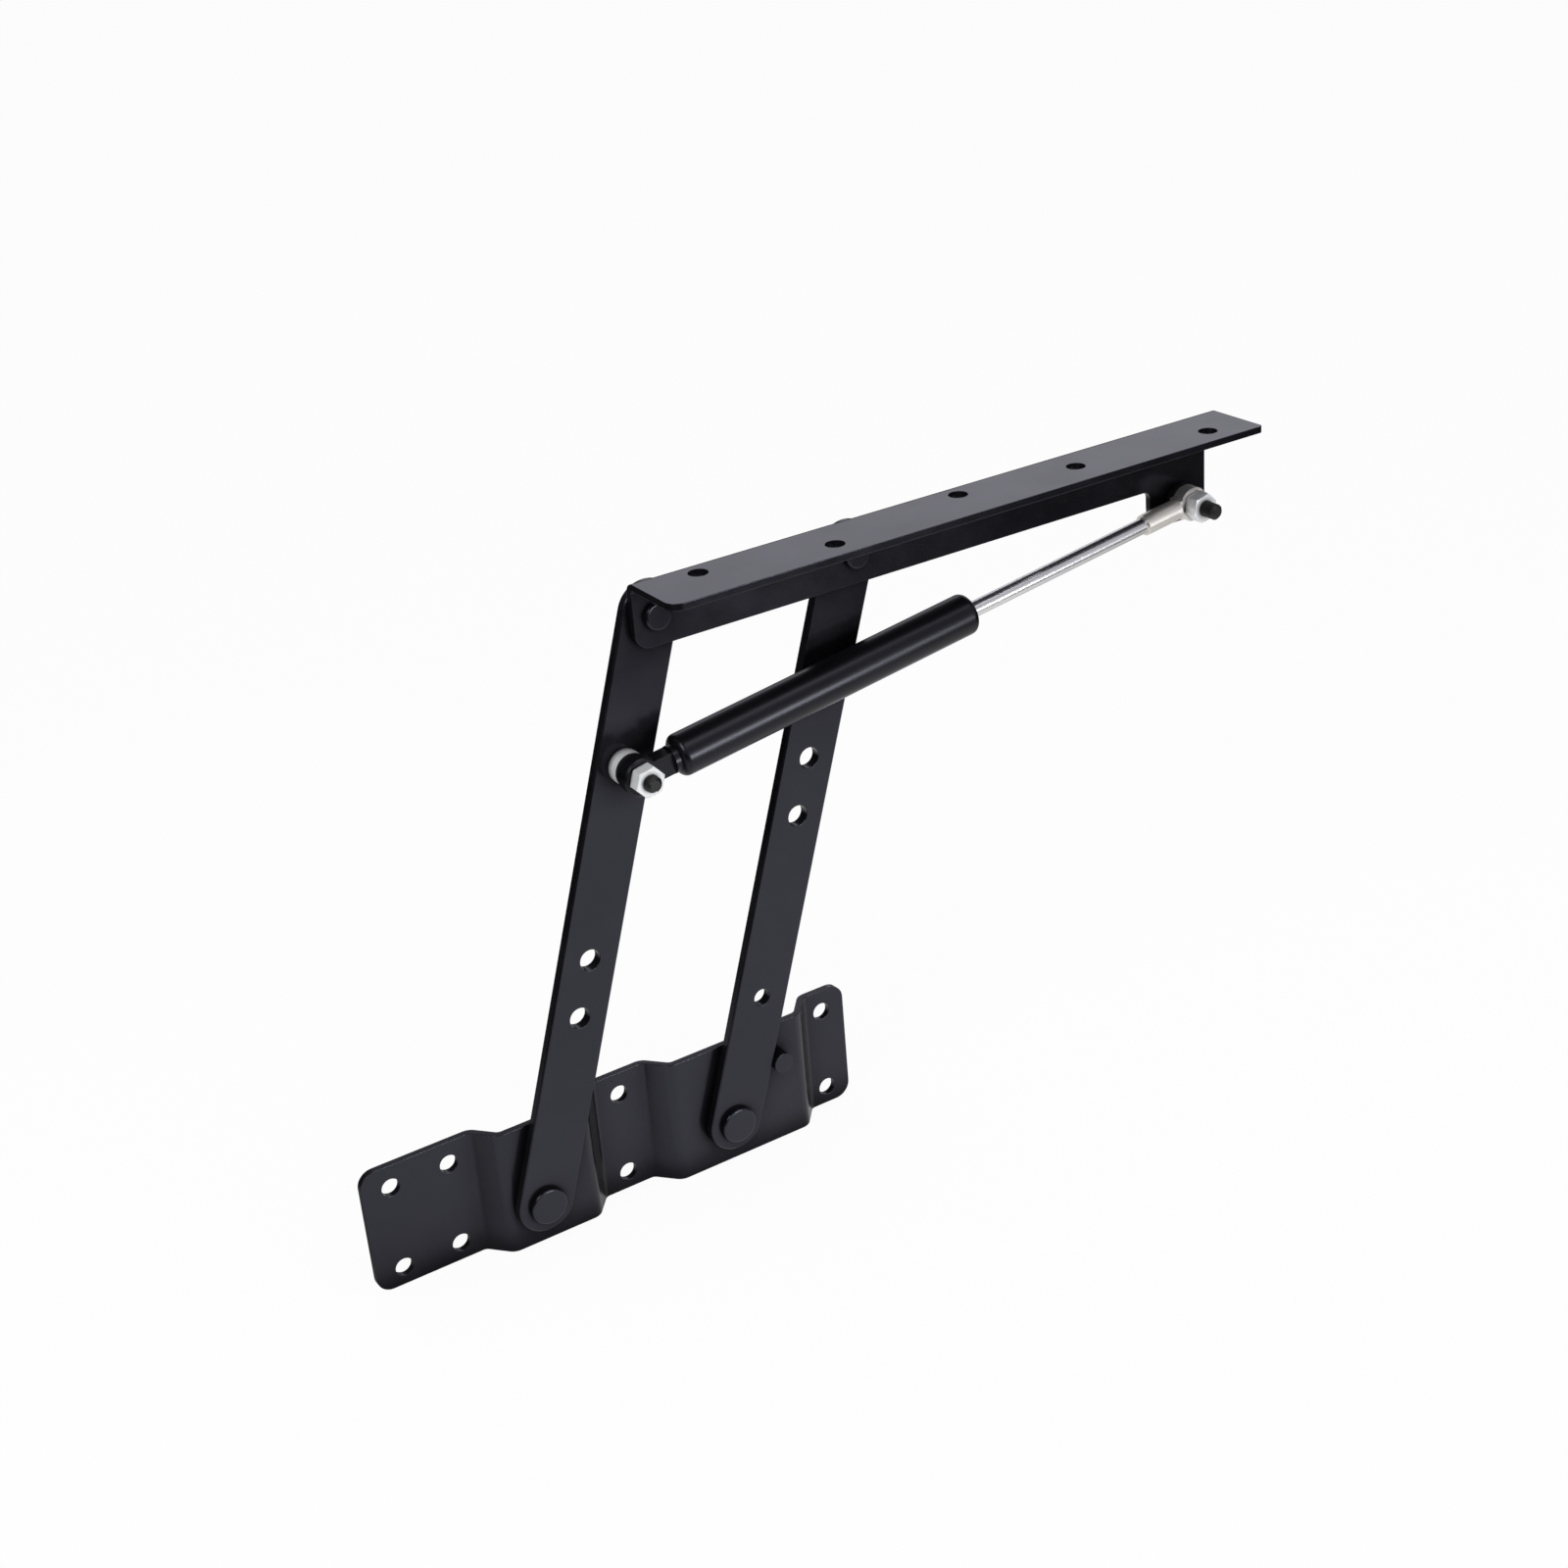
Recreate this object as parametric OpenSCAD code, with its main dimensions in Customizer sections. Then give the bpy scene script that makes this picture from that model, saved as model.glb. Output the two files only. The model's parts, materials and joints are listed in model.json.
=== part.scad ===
// Lift top table mechanism: a joggled wall plate, two parallel arms, an angle
// rail that carries the table top, and a gas strut that pushes the arms up.
// X runs along the plate to the right, Y runs into the wall, Z is up.
// The origin is the centre of the left tab's four holes, on the wall face.
// The model stands in the raised pose, with the right arm at its stop pin.

/* [Base plate] */
// Sheet thickness of the base plate
base_t = 2.5; // [2:0.1:3.5]
// Height of the base plate
base_h = 50; // [48:1:70]
// How far the two lands are pressed forward of the tabs
land_rise = 8.8; // [6:0.2:14]
// Length along the plate of each sloped riser
riser_run = 7.5; // [7:0.5:10]
// Bend radius of the base plate at mid thickness
base_bend_r = 4; // [3:0.25:5]
// Radius of the plate's outer corners
base_corner_r = 6; // [2:0.5:10]
// Width of the left tab
left_tab_w = 43; // [40:1:60]
// Width of the left land
left_land_w = 34; // [30:1:45]
// Width of the right land
right_land_w = 55.5; // [52:0.5:80]
// Width of the right tab
right_tab_w = 18; // [16:1:40]

/* [Screw holes] */
// Diameter of the screw holes in the plate and the rail
screw_d = 7; // [4:0.1:8]
// Distance between the hole columns of the left tab
hole_dx = 22.5; // [16:0.5:26]
// Distance between the upper and the lower row of holes
hole_dz = 34; // [24:1:36]
// Distance from the left end of the plate to its first hole column
left_margin = 11; // [8:0.5:12]
// Distance from the right end of the plate to its last hole column
right_margin = 10; // [8:0.5:11]
// How far the hole rows lie below the middle of the plate
hole_drop = 1; // [0:0.25:2]

/* [Arms] */
// Distance between the pivots of an arm
arm_l = 220; // [190:1:260]
// Width of an arm
arm_w = 22; // [18:0.5:26]
// Thickness of an arm
arm_t = 4; // [3:0.25:6]
// Width of the chamfer along an arm's edges
arm_chamfer = 0.5; // [0.2:0.1:0.8]
// Distance between the pivots of the two arms
arm_pitch = 80.5; // [78:0.5:100]
// Lean of the raised arms from upright, in degrees
lean = 17.8; // [10:0.1:24]
// Distance from the left land's edge to the left pivot
left_pivot_in = 12.25; // [11:0.25:16]
// Distance from the right land's edge to the right pivot
right_pivot_in = 22.25; // [18:0.25:26]
// Height of the base pivots above the plate's lower edge
pivot_up = 18; // [12:0.5:24]
// Diameter of the spare holes in the arms
spare_d = 8; // [5:0.1:9]
// Diameter of the small hole low on the right arm
small_hole_d = 6.7; // [4:0.1:8]
// Distance between the two holes of a spare pair
spare_pitch = 22; // [14:1:26]
// Distance from the base pivot to the left arm's lower spare hole
left_spare = 72.5; // [60:0.5:90]
// Distance from the base pivot to the right arm's lower spare hole
right_spare = 122; // [105:0.5:140]
// Distance from the base pivot to the right arm's small hole
right_small = 51; // [40:0.5:70]

/* [Rail] */
// Length of the rail
rail_l = 254; // [235:1:300]
// Width of the flange under the table top
flange_w = 30; // [26:1:45]
// Height of the rail's upright web, with the flange
web_h = 24.5; // [23:0.5:26]
// Sheet thickness of the rail
rail_t = 2.5; // [2:0.1:3.5]
// Inner bend radius of the rail
rail_bend_r = 1.5; // [0.5:0.25:2.5]
// Radius of the flange's left front corner
flange_corner_r = 5; // [1:0.5:8]
// Radius of the flange's right front corner
flange_end_r = 1.5; // [1:0.25:8]
// Radius of the web's lower left corner
web_corner_r = 6; // [1:0.5:8]
// Distance from the rail's left end to the left pivot
rail_in = 8.75; // [8:0.25:14]
// Depth of the rail pivots below the flange's top face
rail_drop = 13.5; // [11:0.25:15]
// Width of the ear that carries the strut's rod end
ear_w = 27; // [22:0.5:32]
// Distance from the ear's centre to its lower edge
ear_below = 9.2; // [8:0.1:14]
// Radius of the ear's lower corners
ear_corner_r = 8; // [2:0.5:10]
// Distance from the rail's right end to the ear's centre
ear_in = 17.5; // [17:0.5:30]
// Depth of the ear's centre below the flange's top face
ear_drop = 30.7; // [27:0.1:40]
// Radius of the inner corner beside the ear
ear_fillet_r = 3; // [1:0.5:6]
// Distance from the rail's left end to its first screw hole
rail_first = 22; // [14:0.5:30]
// Distance from the rail's right end to its last screw hole
rail_last = 18; // [10:0.5:30]
// Distance along the rail between the two staggered rows
rail_stagger = 48; // [30:1:60]
// Distance from the rail's back to the first row of screw holes
row_back = 10; // [9:0.5:12]
// Distance from the rail's back to the fourth screw hole
row_middle = 16; // [12:0.5:18]
// Distance from the rail's back to the front row of screw holes
row_front = 20; // [18:0.5:21]

/* [Pivots] */
// Diameter of the pivot rivets
rivet_d = 8; // [6:0.1:9]
// Head diameter of the base rivets
base_head_d = 14; // [12:0.5:18]
// Head diameter of the top rivets
top_head_d = 10; // [9.5:0.5:14]
// Thickness of the rivet heads
head_t = 2.2; // [1.4:0.1:3]
// Edge radius of the rivet heads
head_edge_r = 0.8; // [0.2:0.1:1]
// Diameter of the thin washers at the four pivots
pivot_washer_d = 16; // [12:0.5:18]
// Thickness of the thin washers at the four pivots
washer_t = 0.7; // [0.5:0.1:1.5]
// Diameter of the stop pin
stop_d = 7.75; // [5:0.25:9]
// Distance of the stop pin from the right pivot, along the arm
stop_up = 23.9; // [20:0.1:30]
// Length of the stop pin in front of the land
stop_l = 6; // [3:0.25:8]
// Width of the stop pin's shoulder round its riveted stem
stop_shoulder = 0.75; // [0.5:0.25:1.25]

/* [Gas strut] */
// Outer diameter of the strut's tube
tube_d = 15.4; // [14:0.1:18]
// Wall thickness of the tube
tube_wall = 1.2; // [0.8:0.1:1.6]
// Length of the tube
tube_l = 126.5; // [110:0.5:140]
// Radius of the tube's rolled ends
tube_edge_r = 2.6; // [1.5:0.1:3]
// Thickness of the tube's rolled-in mouth
mouth_t = 2; // [1.5:0.1:3]
// Gap between the rod and the tube's mouth
mouth_gap = 1.2; // [0.8:0.1:2]
// Diameter of the piston rod
rod_d = 6; // [5:0.1:8]
// Distance from the base pivot to the strut's stud on the left arm
tail_up = 166; // [155:0.5:175]
// Distance from the tail pivot to the tube
tail_reach = 14.4; // [12:0.1:20]
// Thickness of the tail eye and its neck
tail_eye_t = 6; // [5:0.25:8]
// Outer radius of the tail eye
tail_eye_r = 7; // [6:0.25:9]
// Chamfer along the rims of both eyes
eye_chamfer = 0.6; // [0.2:0.1:1]
// Width of the tail eye's neck
tail_neck_w = 8; // [6:0.25:11]
// Thickness of the rod eye
rod_eye_t = 6; // [5.5:0.25:8]
// Outer radius of the rod eye
rod_eye_r = 6.5; // [6:0.25:9]
// Diameter of the rod end's sleeve
sleeve_d = 8; // [7.6:0.1:10]
// Distance from the rod eye's centre to the end of its sleeve
sleeve_reach = 22.8; // [18:0.1:30]
// Width of the flat tongue between the sleeve and the rod eye
tongue_w = 7.5; // [6.5:0.25:11]
// Depth to which the rod is screwed into the sleeve
rod_grip = 12; // [8:0.5:13]
// Length of the rod guide in the tube's mouth
guide_l = 8; // [5:0.5:12]
// Length of the rod seal
seal_l = 4; // [2.5:0.25:6]
// Length of the piston
piston_l = 8; // [5:0.5:12]
// Gap between the seal and the piston with the strut extended
piston_rest = 6; // [3:0.5:10]
// Gap between the piston and the tube's bore
piston_gap = 0.4; // [0.2:0.05:0.6]
// Width of the groove for the piston's ring
ring_w = 2.4; // [1.5:0.1:3.5]
// Depth of the groove for the piston's ring
ring_depth = 1.2; // [0.8:0.1:1.6]
// Length of the rod's peened end behind the piston
peen_l = 1.5; // [1:0.1:2.5]

/* [Studs] */
// Diameter of the strut studs where they turn in the eyes and carry their nuts
stud_d = 6; // [5:0.1:7.5]
// Diameter of the strut studs' roots in the arm and the ear
stud_root_d = 8; // [7.5:0.1:9]
// Diameter of the studs' collars
collar_d = 12.5; // [11:0.25:15]
// Thickness of the rod stud's collar
collar_t = 3.5; // [2.5:0.1:4.5]
// Diameter of the studs' heads behind the arm and the ear
stud_head_d = 12; // [11:0.5:16]
// Diameter of the thick washer under the tail stud's collar
tail_washer_d = 12.5; // [12:0.5:16]
// Thickness of the thick washer under the tail stud's collar
tail_washer_t = 5; // [3:0.1:5.5]
// Width of the hexagon nuts across their flats
nut_w = 10; // [9:0.5:13]
// Height of the tail nut
tail_nut_h = 5; // [4:0.25:7]
// Height of the rod nut
rod_nut_h = 6; // [4:0.25:8]
// Turn of the tail nut, in degrees
tail_nut_turn = 12; // [0:1:59]
// Turn of the rod nut, in degrees
rod_nut_turn = 15; // [0:1:59]
// Length of the tail stud in front of its nut
tail_tip = 3; // [1:0.25:5]
// Length of the rod stud in front of its nut
rod_tip = 6.7; // [1:0.1:8]
// Chamfer at the ends of the studs
stud_chamfer = 0.8; // [0.3:0.1:1.2]

/* [Clearances] */
// Radial running clearance of pins in their holes
run_gap = 0.05; // [0.02:0.01:0.1]
// Side play of the moving pieces along their pivots
play = 0.1; // [0.05:0.05:0.3]
// Gap between the stop pin and the arm that rests on it
stop_gap = 0.25; // [0.1:0.05:0.5]
// Gap between the ear and the rod end's stud
ear_gap = 0.3; // [0.2:0.05:0.6]

/* [Hidden] */
$fn = 96;
eps = 0.01;

// Colours of the finishes
coat = [0.09, 0.09, 0.10];
gloss = [0.04, 0.04, 0.05];
blackened = [0.06, 0.06, 0.06];
zinc = [0.78, 0.79, 0.80];
nickel = [0.76, 0.73, 0.68];
chrome = [0.85, 0.86, 0.88];
brass = [0.75, 0.62, 0.32];
polymer = [0.20, 0.20, 0.21];
rubber = [0.07, 0.07, 0.07];

// Places along the plate
plate_x0 = -hole_dx / 2 - left_margin;
left_land_x0 = plate_x0 + left_tab_w + riser_run;
left_land_x1 = left_land_x0 + left_land_w;
left_pivot = [left_land_x0 + left_pivot_in, pivot_up - base_h / 2 + hole_drop];
right_pivot = left_pivot + [arm_pitch, 0];
right_land_x0 = right_pivot.x - right_pivot_in;
right_land_x1 = right_land_x0 + right_land_w;
mid_tab_x = (left_land_x1 + right_land_x0) / 2;
plate_x1 = right_land_x1 + riser_run + right_tab_w;
right_hole_x = plate_x1 - right_margin;
plate_z0 = hole_drop - base_h / 2;

// Riser of the base plate
riser_angle = atan2(land_rise, riser_run);
bend_reach = base_bend_r * tan(riser_angle / 2);
tab_mid_y = -base_t / 2;
land_mid_y = tab_mid_y - land_rise;
mitre = base_t / 2 * tan(riser_angle / 2);
bend_inner_r = base_bend_r - base_t / 2;
bend_outer_r = base_bend_r + base_t / 2;
bend_inner = bend_inner_r * [sin(riser_angle), cos(riser_angle)];
// Corners of a riser on the wall face and on the front face, from its foot on a tab to its land
riser_back = [
    [mitre, 0],
    [riser_run + bend_reach, land_mid_y + base_bend_r] - bend_inner,
    [riser_run + bend_reach, -land_rise]
];
riser_face = [
    [-bend_reach, -base_t],
    [-bend_reach, tab_mid_y - base_bend_r] + bend_inner,
    [riser_run - mitre, -land_rise - base_t]
];
// Each riser as its foot on a tab and its direction: 1 where it climbs to the right, -1 to the left
risers = [
    [left_land_x0 - riser_run, 1],
    [left_land_x1 + riser_run, -1],
    [right_land_x0 - riser_run, 1],
    [right_land_x1 + riser_run, -1]
];

// Depths in front of the wall face
land_back = land_rise;
land_face = land_rise + base_t;
arm_back = land_face + washer_t + play;
arm_face = arm_back + arm_t;
web_back = arm_face + play + washer_t;
web_face = web_back + rail_t;
rod_eye_back = web_face + ear_gap + collar_t;
rod_eye_face = rod_eye_back + rod_eye_t;
strut_depth = rod_eye_back + rod_eye_t / 2;
tail_eye_back = strut_depth - tail_eye_t / 2;
tail_eye_face = strut_depth + tail_eye_t / 2;

// Pivots of the linkage, as X and Z
arm_way = [sin(lean), cos(lean)];
arm_side = [cos(lean), -sin(lean)];
left_top = left_pivot + arm_l * arm_way;
right_top = right_pivot + arm_l * arm_way;
stop_stem_d = stop_d - 2 * stop_shoulder;
stop_at = right_pivot + stop_up * arm_way + (arm_w / 2 + stop_gap + stop_d / 2) * arm_side;

// Rail
rail_x0 = left_top.x - rail_in;
rail_x1 = rail_x0 + rail_l;
rail_top = left_top.y + rail_drop;
rail_bottom = rail_top - web_h;
rail_outer_r = rail_bend_r + rail_t;
flange_front = web_back + flange_w;
ear_at = [rail_x1 - ear_in, rail_top - ear_drop];
web_end = ear_at.x + ear_w / 2;
rail_middle = (rail_x0 + rail_first + rail_x1 - rail_last) / 2;
rail_holes = [
    [rail_x0 + rail_first, web_back + row_back],
    [rail_x0 + rail_first + rail_stagger, web_back + row_front],
    [rail_middle, web_back + row_back],
    [rail_middle + rail_stagger, web_back + row_middle],
    [rail_x1 - rail_last, web_back + row_front]
];

// Studs
nut_corner_r = nut_w / 2 / cos(30);
tail_collar_back = arm_face + tail_washer_t;
tail_collar_t = tail_eye_back - play - tail_collar_back;
tail_nut_back = tail_eye_face + play;
tail_stud_end = tail_nut_back + tail_nut_h + tail_tip;
rod_collar_back = web_face + ear_gap;
rod_stud_end = rod_eye_face + rod_nut_h + rod_tip;

// Strut, measured from the tail pivot along its axis
tail_at = left_pivot + tail_up * arm_way;
strut_l = norm(ear_at - tail_at);
strut_angle = atan2(ear_at.y - tail_at.y, ear_at.x - tail_at.x);
tube_end = tail_reach + tube_l;
bore_r = tube_d / 2 - tube_wall;
mouth_r = rod_d / 2 + mouth_gap;
guide_x = tube_end - mouth_t - guide_l;
seal_x = guide_x - seal_l;
piston_x = seal_x - piston_rest - piston_l;
piston_r = bore_r - piston_gap;
sleeve_x = strut_l - sleeve_reach;
sleeve_end = strut_l - max(nut_corner_r, collar_d / 2) - ear_gap;

// Puts a flat drawing upright: its X and Y become X and Z, and its height the depth in front of the wall
module front(at = [0, 0], depth = 0) {
    rotate([90, 0, 0]) translate([at.x, at.y, depth]) children();
}

// A straight pin from one depth to another
module pin(at, d, from, to) {
    front(at, from) cylinder(d = d, h = to - from);
}

// Runs along the strut: X from the tail pivot to the ear, Z towards the front
module along_strut(x = 0) {
    front(tail_at, strut_depth) rotate([0, 0, strut_angle]) translate([x, 0, 0]) children();
}

// A turned piece on the strut's axis, drawn as radius and length
module turned_on_strut(x = 0) {
    along_strut(x) rotate([0, 90, 0]) rotate_extrude() children();
}

// Half section of a ring between two radii
module ring_section(r0, r1, l) {
    translate([r0, 0]) square([r1 - r0, l]);
}

// One face of the bent sheet as points from left to right, with the corners of each riser
function sheet_face(y, corners) = concat(
    [[plate_x0, y]],
    [for (riser = risers, i = riser[1] > 0 ? [0, 1, 2] : [2, 1, 0])
        [riser[0] + riser[1] * corners[i].x, corners[i].y]],
    [[plate_x1, y]]
);

// The sliver between a bend's outer arc and its sharp corner; the bend's centre lies at the origin
module bend_sliver() {
    over = 1.15 * bend_outer_r;
    half = riser_angle / 2;
    difference() {
        polygon([
            [0, 0],
            [over, 0],
            over / cos(half) * [cos(half), sin(half)],
            over * [cos(riser_angle), sin(riser_angle)]
        ]);
        circle(bend_outer_r);
    }
}

// Repeats a shape at the two bends of every riser
module at_bends() {
    for (riser = risers) {
        turn = riser[1] > 0 ? riser_angle : 0;
        translate([riser[0] - riser[1] * bend_reach, tab_mid_y - base_bend_r]) rotate(90 - turn) children();
        translate([riser[0] + riser[1] * (riser_run + bend_reach), land_mid_y + base_bend_r])
            rotate(-90 - turn) children();
    }
}

// Cross section of the base plate, seen from above
module base_section() {
    back = sheet_face(0, riser_back);
    face = sheet_face(-base_t, riser_face);
    difference() {
        polygon(concat(back, [for (i = [len(face) - 1:-1:0]) face[i]]));
        at_bends() bend_sliver();
        at_bends() circle(bend_inner_r);
    }
}

// Front outline of the base plate with its round corners
module base_outline() {
    r = base_corner_r;
    plate_w = plate_x1 - plate_x0;
    translate([plate_x0, plate_z0 + r]) square([plate_w, base_h - 2 * r]);
    translate([plate_x0 + r, plate_z0]) square([plate_w - 2 * r, base_h]);
    for (x = [plate_x0 + r, plate_x1 - r], z = [plate_z0 + r, plate_z0 + base_h - r]) {
        translate([x, z]) circle(r);
    }
}

module base_plate() {
    color(coat) difference() {
        intersection() {
            translate([0, 0, plate_z0]) linear_extrude(base_h) base_section();
            front(depth = -eps) linear_extrude(land_face + 2 * eps) base_outline();
        }
        for (x = [-hole_dx / 2, hole_dx / 2, mid_tab_x, right_hole_x], z = [-hole_dz / 2, hole_dz / 2]) {
            pin([x, z], screw_d, -1, base_t + 1);
        }
        for (at = [left_pivot, right_pivot]) {
            pin(at, rivet_d + 2 * run_gap, land_back - 1, land_face + 1);
        }
        pin(stop_at, stop_stem_d + 2 * run_gap, land_back - 1, land_face + 1);
    }
}

// Half section of a rivet head with a rounded rim, from its seat outwards
module head_section(d) {
    r = d / 2;
    square([r, head_t - head_edge_r]);
    square([r - head_edge_r, head_t]);
    translate([r - head_edge_r, head_t - head_edge_r]) circle(head_edge_r);
}

// A rivet with a head at each end of its shank
module rivet(at, d, head_d, from, to) {
    front(at, from) rotate([180, 0, 0]) rotate_extrude() head_section(head_d);
    pin(at, d, from - eps, to + eps);
    front(at, to) rotate_extrude() head_section(head_d);
}

module base_rivet(at) {
    color(coat) rivet(at, rivet_d, base_head_d, land_back, arm_face + play);
}

module top_rivet(at) {
    color(coat) rivet(at, rivet_d, top_head_d, arm_back, web_face + play);
}

module left_base_rivet() { base_rivet(left_pivot); }
module right_base_rivet() { base_rivet(right_pivot); }

// A flat washer that starts at a depth
module washer(at, d, bore_d, from, t) {
    front(at, from) difference() {
        cylinder(d = d, h = t);
        translate([0, 0, -1]) cylinder(d = bore_d, h = t + 2);
    }
}

module pivot_washer(at, from) {
    color(polymer) washer(at, pivot_washer_d, rivet_d + 2 * run_gap, from, washer_t);
}

module left_base_washer() { pivot_washer(left_pivot, land_face); }
module right_base_washer() { pivot_washer(right_pivot, land_face); }
module left_top_washer() { pivot_washer(left_top, web_back - washer_t); }
module right_top_washer() { pivot_washer(right_top, web_back - washer_t); }

module stop_pin() {
    color(coat) {
        pin(stop_at, stop_stem_d, land_back, land_face + eps);
        pin(stop_at, stop_d, land_face, land_face + stop_l);
    }
}

// Chamfered round end of an arm
module arm_end() {
    r = arm_w / 2;
    c = arm_chamfer;
    rotate_extrude() polygon([[0, 0], [r - c, 0], [r, c], [r, arm_t - c], [r - c, arm_t], [0, arm_t]]);
}

// A chamfered flat bar with round ends, from its base pivot upwards
module arm_bar() {
    r = arm_w / 2;
    c = arm_chamfer;
    rotate([-90, 0, 0]) mirror([0, 1, 0]) linear_extrude(arm_l) polygon([
        [c - r, 0], [r - c, 0], [r, c], [r, arm_t - c], [r - c, arm_t], [c - r, arm_t], [-r, arm_t - c], [-r, c]
    ]);
    arm_end();
    translate([0, arm_l, 0]) arm_end();
}

// An arm with its pivot bores and its further holes, given as [distance from the base pivot, diameter]
module arm(at, holes) {
    color(coat) front(at, arm_back) rotate([0, 0, -lean]) difference() {
        arm_bar();
        for (hole = concat([[0, rivet_d + 2 * run_gap], [arm_l, rivet_d + 2 * run_gap]], holes)) {
            translate([0, hole[0], -1]) cylinder(d = hole[1], h = arm_t + 2);
        }
    }
}

module left_arm() {
    arm(left_pivot, [
        [left_spare, spare_d], [left_spare + spare_pitch, spare_d], [tail_up, stud_root_d + 2 * run_gap]
    ]);
}

module right_arm() {
    arm(right_pivot, [
        [right_small, small_hole_d], [right_spare, spare_d], [right_spare + spare_pitch, spare_d]
    ]);
}

module left_top_rivet() { top_rivet(left_top); }
module right_top_rivet() { top_rivet(right_top); }

// Half section of a stud's shank with a chamfered end
module shank_section(l) {
    polygon([[0, 0], [stud_d / 2, 0], [stud_d / 2, l - stud_chamfer], [stud_d / 2 - stud_chamfer, l], [0, l]]);
}

module tail_stud() {
    color(blackened) {
        front(tail_at, arm_back) rotate([180, 0, 0]) rotate_extrude() head_section(stud_head_d);
        pin(tail_at, stud_root_d, arm_back - eps, tail_collar_back + eps);
        pin(tail_at, collar_d, tail_collar_back, tail_collar_back + tail_collar_t);
        front(tail_at, tail_collar_back) rotate_extrude() shank_section(tail_stud_end - tail_collar_back);
    }
}

module tail_washer() {
    color(zinc) washer(tail_at, tail_washer_d, stud_root_d + 2 * run_gap, arm_face, tail_washer_t);
}

// A hexagon nut with both rims turned down to a cone
module hex_nut(at, from, h, turn) {
    rim = nut_corner_r - nut_w / 2;
    front(at, from) difference() {
        intersection() {
            rotate([0, 0, turn]) cylinder(r = nut_corner_r, h = h, $fn = 6);
            rotate_extrude() polygon([
                [0, 0], [nut_w / 2, 0], [nut_w / 2 + 2 * rim, rim],
                [nut_w / 2 + 2 * rim, h - rim], [nut_w / 2, h], [0, h]
            ]);
        }
        translate([0, 0, -1]) cylinder(d = stud_d + 2 * run_gap, h = h + 2);
    }
}

module tail_nut() { color(zinc) hex_nut(tail_at, tail_nut_back, tail_nut_h, tail_nut_turn); }

// Cross section of the rail: flange to the front, web down
module rail_section() {
    translate([-flange_front, rail_top - rail_t]) square([flange_front - web_back - rail_outer_r, rail_t]);
    translate([-web_face, rail_bottom]) square([rail_t, rail_top - rail_outer_r - rail_bottom]);
    translate([-web_back - rail_outer_r, rail_top - rail_outer_r]) intersection() {
        difference() {
            circle(rail_outer_r);
            circle(rail_bend_r);
        }
        square(rail_outer_r);
    }
}

// What is cut away to round a corner: the corner lies at the origin and the piece in the first quarter
module corner_cut(r) {
    difference() {
        translate([-1, -1]) square(r + 1);
        translate([r, r]) circle(r);
    }
}

// Outline of the ear below the web, with the fillet beside it
module ear_outline() {
    f = ear_fillet_r;
    r = ear_corner_r;
    x0 = ear_at.x - ear_w / 2;
    z0 = ear_at.y - ear_below;
    ear_h = rail_bottom + rail_t - z0;
    translate([x0, z0 + r]) square([ear_w, ear_h - r]);
    translate([x0 + r, z0]) square([ear_w - 2 * r, ear_h]);
    for (x = [x0 + r, x0 + ear_w - r]) {
        translate([x, z0 + r]) circle(r);
    }
    translate([x0 - f, rail_bottom - f]) difference() {
        square(f + eps);
        circle(f);
    }
}

module top_rail() {
    color(coat) difference() {
        union() {
            difference() {
                translate([rail_x0, 0, 0]) rotate([90, 0, 90]) linear_extrude(rail_l) rail_section();
                translate([web_end, -web_face - 1, rail_bottom - 1])
                    cube([rail_x1 - web_end + 1, rail_t + 2, web_h - rail_outer_r + 1]);
                front([rail_x0, rail_bottom], web_back - 1) linear_extrude(rail_t + 2) corner_cut(web_corner_r);
                translate([rail_x0, -flange_front, rail_top - rail_t - 1])
                    linear_extrude(rail_t + 2) corner_cut(flange_corner_r);
                translate([rail_x1, -flange_front, rail_top - rail_t - 1])
                    linear_extrude(rail_t + 2) mirror([1, 0]) corner_cut(flange_end_r);
            }
            front(depth = web_back) linear_extrude(rail_t) ear_outline();
        }
        for (hole = rail_holes) {
            translate([hole.x, -hole.y, rail_top - rail_t - 1]) cylinder(d = screw_d, h = rail_t + 2);
        }
        for (at = [left_top, right_top]) {
            pin(at, rivet_d + 2 * run_gap, web_back - 1, web_face + 1);
        }
        pin(ear_at, stud_root_d + 2 * run_gap, web_back - 1, web_face + 1);
    }
}

module ear_stud_root() {
    color(blackened) {
        front(ear_at, web_back) rotate([180, 0, 0]) rotate_extrude() head_section(stud_head_d);
        pin(ear_at, stud_root_d, web_back - eps, web_face);
    }
}

// Half section of the tube: closed and rounded at the tail, rolled in round the rod at the mouth
module tube_section() {
    r = tube_d / 2;
    e = tube_edge_r;
    difference() {
        union() {
            square([r - e, tube_l]);
            translate([0, e]) square([r, tube_l - 2 * e]);
            translate([r - e, e]) circle(e);
            translate([r - e, tube_l - e]) circle(e);
        }
        translate([0, tube_edge_r]) square([bore_r, tube_l - tube_edge_r - mouth_t]);
        translate([0, tube_l - mouth_t - 1]) square([mouth_r, mouth_t + 2]);
    }
}

module strut_tube() {
    color(gloss) turned_on_strut(tail_reach) tube_section();
}

// A flat eye with chamfered rims, lying across the strut's axis
module eye(r, t) {
    c = eye_chamfer;
    h = t / 2;
    rotate_extrude() polygon([[0, -h], [r - c, -h], [r, c - h], [r, h - c], [r - c, h], [0, h]]);
}

module tail_eye() {
    color(gloss) along_strut() difference() {
        union() {
            eye(tail_eye_r, tail_eye_t);
            translate([0, -tail_neck_w / 2, -tail_eye_t / 2]) cube([tail_reach - 1, tail_neck_w, tail_eye_t]);
            translate([tail_reach - 2, 0, 0]) rotate([0, 90, 0]) cylinder(d = tube_d - 2 * tube_edge_r, h = 2);
        }
        translate([0, 0, -tail_eye_t]) cylinder(d = stud_d + 2 * run_gap, h = 2 * tail_eye_t);
    }
}

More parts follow.
